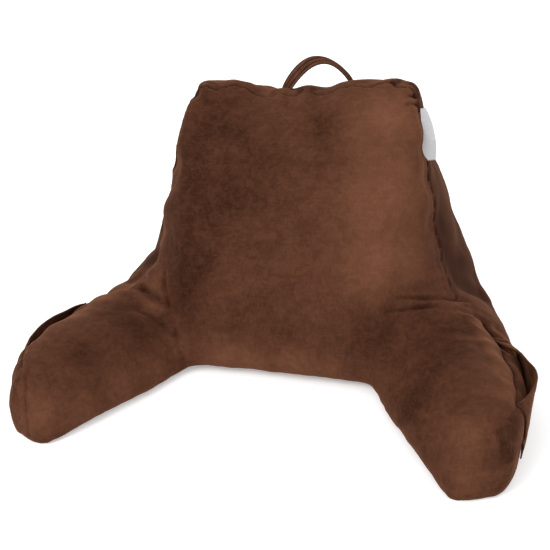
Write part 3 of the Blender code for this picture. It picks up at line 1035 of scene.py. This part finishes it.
def velourGroup():
    tree = bpy.data.node_groups.new("velourPile", "ShaderNodeTree")
    for name, tone in zip(("Dark", "Light"), velour["tones"]):
        addSocket(tree, name, "Color", tone)
    for name, value in velourInputs.items():
        addSocket(tree, name, "Float", value)
    for name, kind in (("Colour", "Color"), ("Roughness", "Float"), ("Height", "Float")):
        addSocket(tree, name, kind, way="OUTPUT")
    given = nodeIn(tree, "NodeGroupInput")
    where = nodeIn(tree, "ShaderNodeTexCoord")["Object"]

    def sums(operation, a, b, clamp=False):
        return nodeIn(tree, "ShaderNodeMath", {0: a, 1: b}, operation=operation,
                      use_clamp=clamp)[0]

    def plus(first, *others):
        for other in others:
            first = sums("ADD", first, other)
        return first

    def times(a, b):
        return sums("MULTIPLY", a, b)

    def centred(value):
        return sums("SUBTRACT", value, 0.5)

    def noise(scale, which, vector=where):
        detail, roughness, distortion = velour[which]
        return nodeIn(tree, "ShaderNodeTexNoise", {
            "Vector": vector, "Scale": scale, "Detail": detail, "Roughness": roughness,
            "Distortion": distortion})["Fac"]

    def crossLines(scale):
        place = nodeIn(tree, "ShaderNodeMapping", {"Vector": where, "Scale": scale})
        return noise(1.0, "lineNoise", place["Vector"])

    patchScale, pileScale, mottleScale = [sums("DIVIDE", 1.0, given[size]) for size in
                                          ("Patch size", "Pile size", "Mottle size")]
    patches = noise(patchScale, "patchNoise")
    mottle = nodeIn(tree, "ShaderNodeMapRange", {
        "Value": noise(mottleScale, "mottleNoise"),
        "From Min": velour["mottleRange"][0], "From Max": velour["mottleRange"][1]},
        interpolation_type="SMOOTHSTEP")["Result"]
    pile = noise(pileScale, "pileNoise")
    across, along = velour["linePaces"]
    warp = crossLines((across, across, along))
    weft = crossLines((along, along, across))
    lines = sums("SUBTRACT", plus(warp, weft), 1.0)
    # How light the pile is: its own patches, mottle, pile and lines, plus the painted light and
    # shade of the nap mask.
    light = plus(
        given["Nap and painted light"],
        times(centred(patches), given["Patchiness"]),
        times(lines, velour["lines"]),
        times(centred(pile), velour["pile"]),
        times(centred(mottle), given["Mottling"]),
        velour["base"])
    # Painted shade: seams, creases and strap folds darken the pile's colour.
    shaded = times(given["Shade"], velour["shade"])
    mix = nodeIn(tree, "ShaderNodeMix", {
        "Factor": sums("SUBTRACT", light, shaded, clamp=True),
        "A": given["Dark"], "B": given["Light"]}, data_type="RGBA")
    least, patchy = velour["roughness"]
    pileHeight, patchHeight, lineHeight = velour["heights"]
    nodeIn(tree, "NodeGroupOutput", {
        "Colour": mix["Result"],
        "Roughness": plus(times(patches, patchy), least),
        "Height": plus(times(pile, pileHeight), times(patches, patchHeight),
                       times(lines, lineHeight))})
    return tree


def newMaterial(name):
    material = bpy.data.materials.new(name)
    material.use_nodes = True
    tree = material.node_tree
    return material, tree, tree.nodes["Principled BSDF"]


def bumpFrom(tree, height, strength, distance):
    return nodeIn(tree, "ShaderNodeBump", {
        "Strength": strength, "Distance": distance, "Height": height})["Normal"]


def velourMaterial(name, dark, light, patchiness=0.4, napAndPaintedLight=False):
    material, tree, shader = newMaterial(name)
    inputs = {"Dark": dark, "Light": light, "Patchiness": patchiness}
    # The seamShade mask brings painted shade, and the nap mask painted light and shade with the
    # pile's own tone.
    for attribute, socket in [("seamShade", "Shade")] + [("napAndPaintedLight", "Nap and painted light")] * napAndPaintedLight:
        layer = nodeIn(tree, "ShaderNodeAttribute", attribute_name=attribute)
        inputs[socket] = layer["Fac"]
    pile = nodeIn(tree, "ShaderNodeGroup", inputs, node_tree=pileGroup)
    setInputs(tree, shader, {
        "Base Color": pile["Colour"],
        "Roughness": pile["Roughness"],
        "Normal": bumpFrom(tree, pile["Height"], *velour["bump"]),
        **velour["finish"]})
    return material


tapeLook = {
    "paces": (120.0, 120.0, 2400.0),
    "detail": 1.0,
    "dark": (0.40, 0.40, 0.41, 1.0),
    "light": (0.56, 0.56, 0.57, 1.0),
    "bump": (0.4, 0.0002),
    "finish": {"Roughness": 0.42, "Sheen Weight": 0.2},
}
threadLook = {
    "paces": (1500.0, 1500.0, 1500.0),
    "detail": 2.0,
    "dark": (0.045, 0.020, 0.013, 1.0),
    "light": (0.120, 0.055, 0.035, 1.0),
    "bump": None,
    "finish": {"Roughness": 0.55},
}


# Satin or thread: a fine grain between two tones.
def grainMaterial(name, look):
    material, tree, shader = newMaterial(name)
    where = nodeIn(tree, "ShaderNodeTexCoord")["Object"]
    place = nodeIn(tree, "ShaderNodeMapping", {"Vector": where, "Scale": look["paces"]})
    grain = nodeIn(tree, "ShaderNodeTexNoise", {
        "Vector": place["Vector"], "Scale": 1.0, "Detail": look["detail"]})["Fac"]
    tone = nodeIn(tree, "ShaderNodeMix", {
        "Factor": grain, "A": look["dark"], "B": look["light"]}, data_type="RGBA")
    setInputs(tree, shader, {"Base Color": tone["Result"], **look["finish"]})
    if look["bump"]:
        setInputs(tree, shader, {"Normal": bumpFrom(tree, grain, *look["bump"])})
    return material


pileGroup = velourGroup()
coverVelour = velourMaterial("brownVelour", *velour["tones"], napAndPaintedLight=True)
strapVelour = velourMaterial("strapVelour", *velour["strapTones"], velour["strapPatchiness"])
pocketVelour = velourMaterial("pocketVelour", *velour["tones"])
whiteTape = grainMaterial("whiteSatinTape", tapeLook)
thread = grainMaterial("brownThread", threadLook)
pillowCover.data.materials.append(coverVelour)
carryStrap.data.materials.append(strapVelour)
tapeLabel.data.materials.append(whiteTape)
stitches = threadTree()
strapStitches = sewLines("strapStitches", strapSeams, stitches, thread, 3)
pocketStitches = []
for k, (spec, piece, lines) in enumerate(pockets):
    piece.data.materials.append(pocketVelour)
    pocketStitches.append(sewLines(spec["name"] + "Stitches", lines, stitches, thread, 5 + k))
print("stitches sewn,", len(strapStitches.data.polygons), "faces on the strap")


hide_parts("pillow_body")
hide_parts("carry_handle")
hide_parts("side_label")
for (spec, piece, lines), sewn in zip(pockets, pocketStitches):
    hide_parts(spec["node"])
for piece in (pillowCover, carryStrap, tapeLabel, strapStitches, *pocketStitches,
              *[piece for spec, piece, lines in pockets]):
    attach(piece, "root")


camera = {"azimuth": 12.80 * deg, "elevation": 21.20 * deg, "focal": 768.0, "picture": 550.0,
          "sensor": 36.0, "place": (0.24387, -1.14141, 0.62501)}
studioSet = {
    "front": -6.0,  # where the paper begins, and where it bends up to the wall
    "back": 1.6,
    "bend": 1.2,
    "high": 5.0,
    "half": 7.0,
    "paper": {"Base Color": (0.90, 0.90, 0.90, 1.0), "Roughness": 0.9, "Specular IOR Level": 0.0,
              "Emission Color": (1.0, 1.0, 1.0, 1.0), "Emission Strength": 0.32},
    "air": {"Color": (1.0, 1.0, 1.0, 1.0), "Strength": 0.90},
    "lampSize": 1.6,
    "lamps": (("softKey", (-1.3, -1.7, 1.9), 38.0), ("softFill", (1.9, -1.2, 1.2), 4.0)),
    "aim": (0.0, 0.0, 0.2),
}


def studio():
    back, bend, half = studioSet["back"], studioSet["bend"], studioSet["half"]
    profile = [(studioSet["front"], 0.0), (back, 0.0)]
    for angle in np.linspace(0.0, pi / 2, 13)[1:]:
        profile.append((back + bend * sin(angle), bend - bend * cos(angle)))
    profile.append((back + bend, studioSet["high"]))
    points = [(x, y, z) for y, z in profile for x in (-half, half)]
    faces = [(k, k + 1, k + 3, k + 2) for k in range(0, len(points) - 2, 2)]
    sweep = newPiece("paleSweep", meshFrom("paleSweep", points, faces))
    sweep.data.shade_smooth()
    paint, tree, shader = newMaterial("palePaper")
    setInputs(tree, shader, studioSet["paper"])
    sweep.data.materials.append(paint)
    world = bpy.data.worlds.new("studioAir")
    world.use_nodes = True
    setInputs(world.node_tree, world.node_tree.nodes["Background"], studioSet["air"])
    bpy.context.scene.world = world
    for name, place, power in studioSet["lamps"]:
        light = bpy.data.lights.new(name, "AREA")
        light.shape = "DISK"
        light.size = studioSet["lampSize"]
        light.energy = power
        lamp = newPiece(name, light)
        lamp.location = place
        towards = Vector(studioSet["aim"]) - lamp.location
        lamp.rotation_euler = towards.to_track_quat("-Z", "Y").to_euler()


def photoCamera():
    a, e = camera["azimuth"], camera["elevation"]
    right = Vector((cos(a), sin(a), 0.0))
    ahead = Vector((-sin(a) * cos(e), cos(a) * cos(e), -sin(e)))
    up = right.cross(ahead)
    lens = bpy.data.cameras.new("photoCamera")
    lens.sensor_width = camera["sensor"]
    lens.lens = camera["focal"] / camera["picture"] * camera["sensor"]
    lens.clip_end = 60.0
    eye = newPiece("photoCamera", lens)
    turned = Matrix((right, up, -ahead)).transposed().to_4x4()
    eye.matrix_world = Matrix.Translation(camera["place"]) @ turned
    bpy.context.scene.camera = eye


studio()
photoCamera()
bpy.context.scene.view_settings.view_transform = "Standard"
